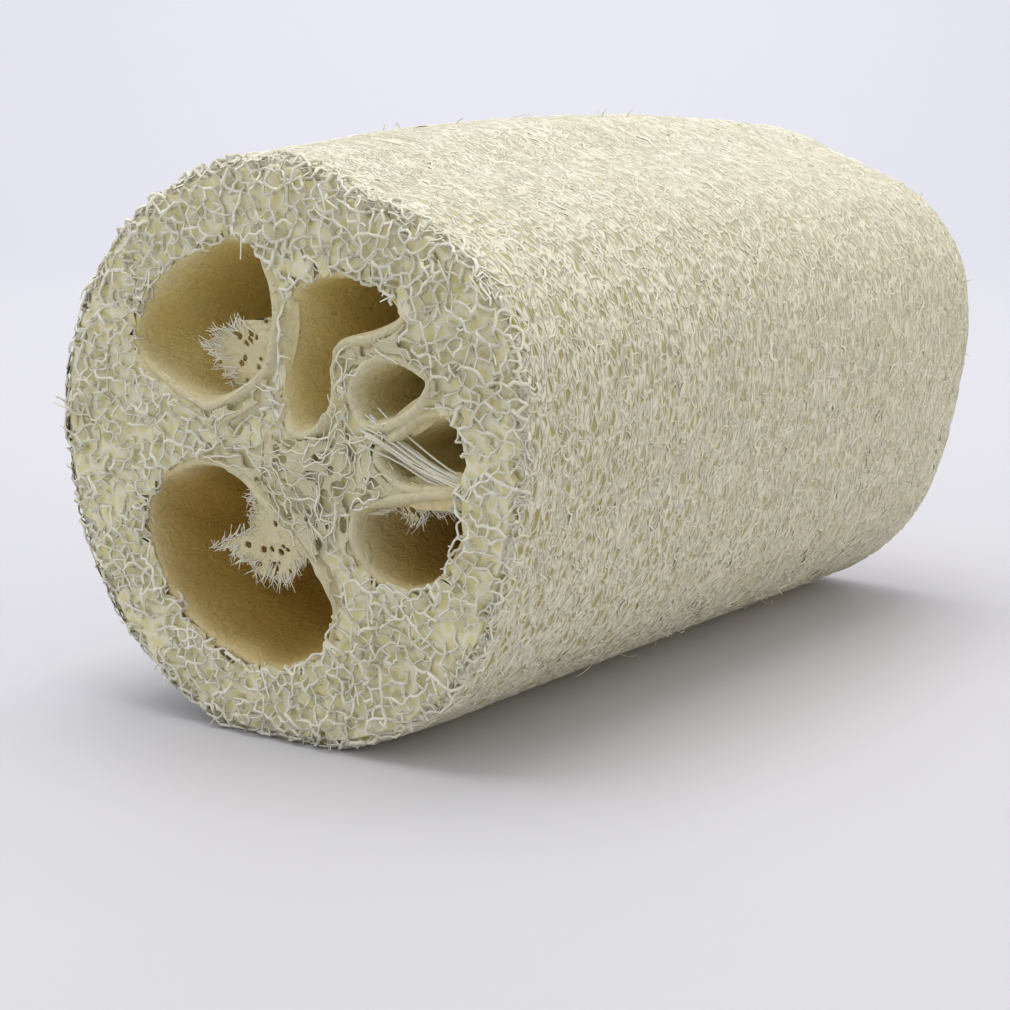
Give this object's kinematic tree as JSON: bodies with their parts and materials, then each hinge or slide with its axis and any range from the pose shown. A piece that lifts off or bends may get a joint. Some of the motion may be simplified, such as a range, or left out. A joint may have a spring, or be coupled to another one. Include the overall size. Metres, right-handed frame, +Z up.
{
  "type": "natural loofah sponge",
  "caption": "Cut length of a dried loofah gourd's fibre skeleton, netted all over, with seed channels running through it; a bath and kitchen scrubber.",
  "frame": {"origin": "on the surface that the sponge lies on, under the middle of its box", "axes": "+Y along the gourd from the front cut to the back cut, +Z up, +X to the right seen from the front cut"},
  "size_m": [0.0602, 0.1, 0.061],
  "materials": {
    "loofah_fibre": "dry, matte plant fibre"
  },
  "bodies": {
    "root": {"loofah": "loofah_fibre"}
  },
  "joints": []
}
